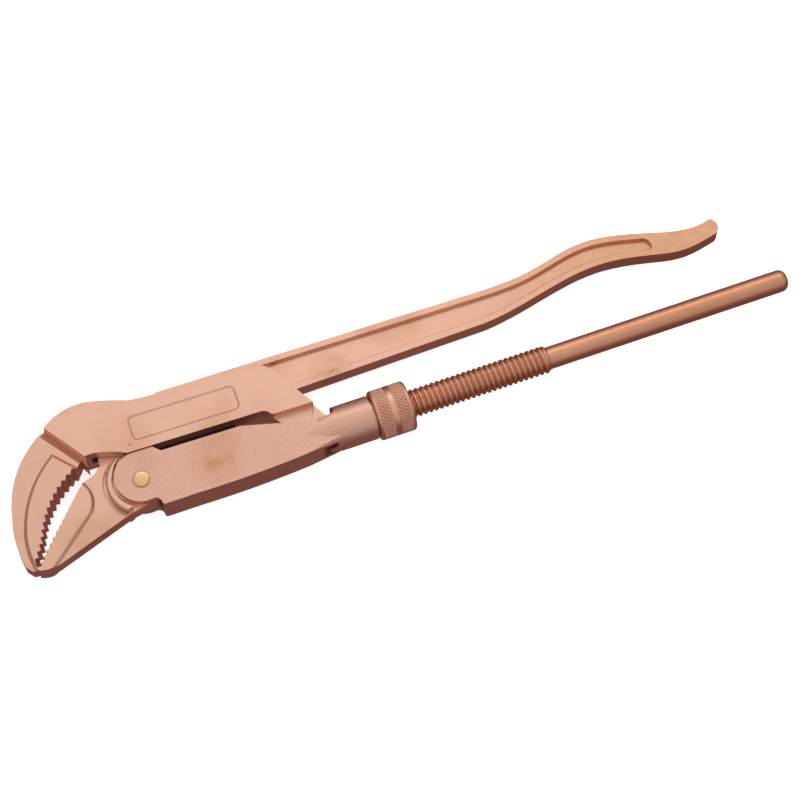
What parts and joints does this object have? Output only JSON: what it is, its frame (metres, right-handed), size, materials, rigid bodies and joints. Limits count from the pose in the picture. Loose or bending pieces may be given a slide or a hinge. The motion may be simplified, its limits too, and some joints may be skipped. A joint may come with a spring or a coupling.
{
  "type": "pipe wrench",
  "caption": "Two-handled pipe wrench with angled toothed jaws, a forged upper leg and a threaded lower handle set by a knurled nut.",
  "frame": {"origin": "bottom centre of the bounding box with the jaws closed", "axes": "+X along the upper leg from the jaws to the handle ends, +Y from the lower handle towards the upper leg, +Z through the thickness"},
  "size_m": [0.4354, 0.089, 0.0272],
  "materials": {
    "leg_bronze": "satin belt-ground copper-coloured alloy",
    "jaw_bronze": "satin ground copper-coloured alloy",
    "housing_bronze": "fine blasted copper-coloured alloy",
    "nut_bronze": "knurled copper-coloured alloy",
    "spindle_bronze": "rolled and blasted copper-coloured alloy",
    "rivet_bronze": "polished brass-coloured rivet",
    "pin_bronze": "turned pin"
  },
  "bodies": {
    "leg": {"upper_leg": "leg_bronze"},
    "rivet": {"jaw_rivet": "rivet_bronze"},
    "jaw": {"lower_jaw": "jaw_bronze", "guide_pin": "pin_bronze"},
    "fork": {"housing": "housing_bronze"},
    "nut": {"adjusting_nut": "nut_bronze", "nut_ring": "pin_bronze"},
    "bar": {"spindle": "spindle_bronze", "anchor_pin": "pin_bronze"}
  },
  "joints": [
    {"name": "jaw_slide", "type": "slide", "parent": "leg", "child": "rivet", "axis": [1, 0, 0], "range_m": [0, 0.05]},
    {"name": "leg_swing", "type": "hinge", "parent": "rivet", "child": "fork", "pos_m": [-0.14627, -0.01307, 0.0136], "axis": [0, 0, 1], "range_deg": [-8, 0]},
    {"name": "jaw_swing", "type": "hinge", "parent": "rivet", "child": "jaw", "pos_m": [-0.14627, -0.01307, 0.0136], "axis": [0, 0, 1], "range_deg": [0, 4]},
    {"name": "spindle_slide", "type": "slide", "parent": "fork", "child": "bar", "axis": [0.9998, 0.0222, 0], "range_m": [-0.05, 0]},
    {"name": "nut_spin", "type": "hinge", "parent": "fork", "child": "nut", "pos_m": [-0.00951, -0.01463, 0.0136], "axis": [0.9998, 0.0222, 0], "range_deg": [0, 6000]}
  ],
  "couplings": [
    {"joint": "jaw_swing", "follows": "leg_swing", "ratio": -0.5},
    {"joint": "spindle_slide", "follows": "jaw_slide", "ratio": -1},
    {"joint": "nut_spin", "follows": "jaw_slide", "rad_per_m": 2094.4}
  ]
}
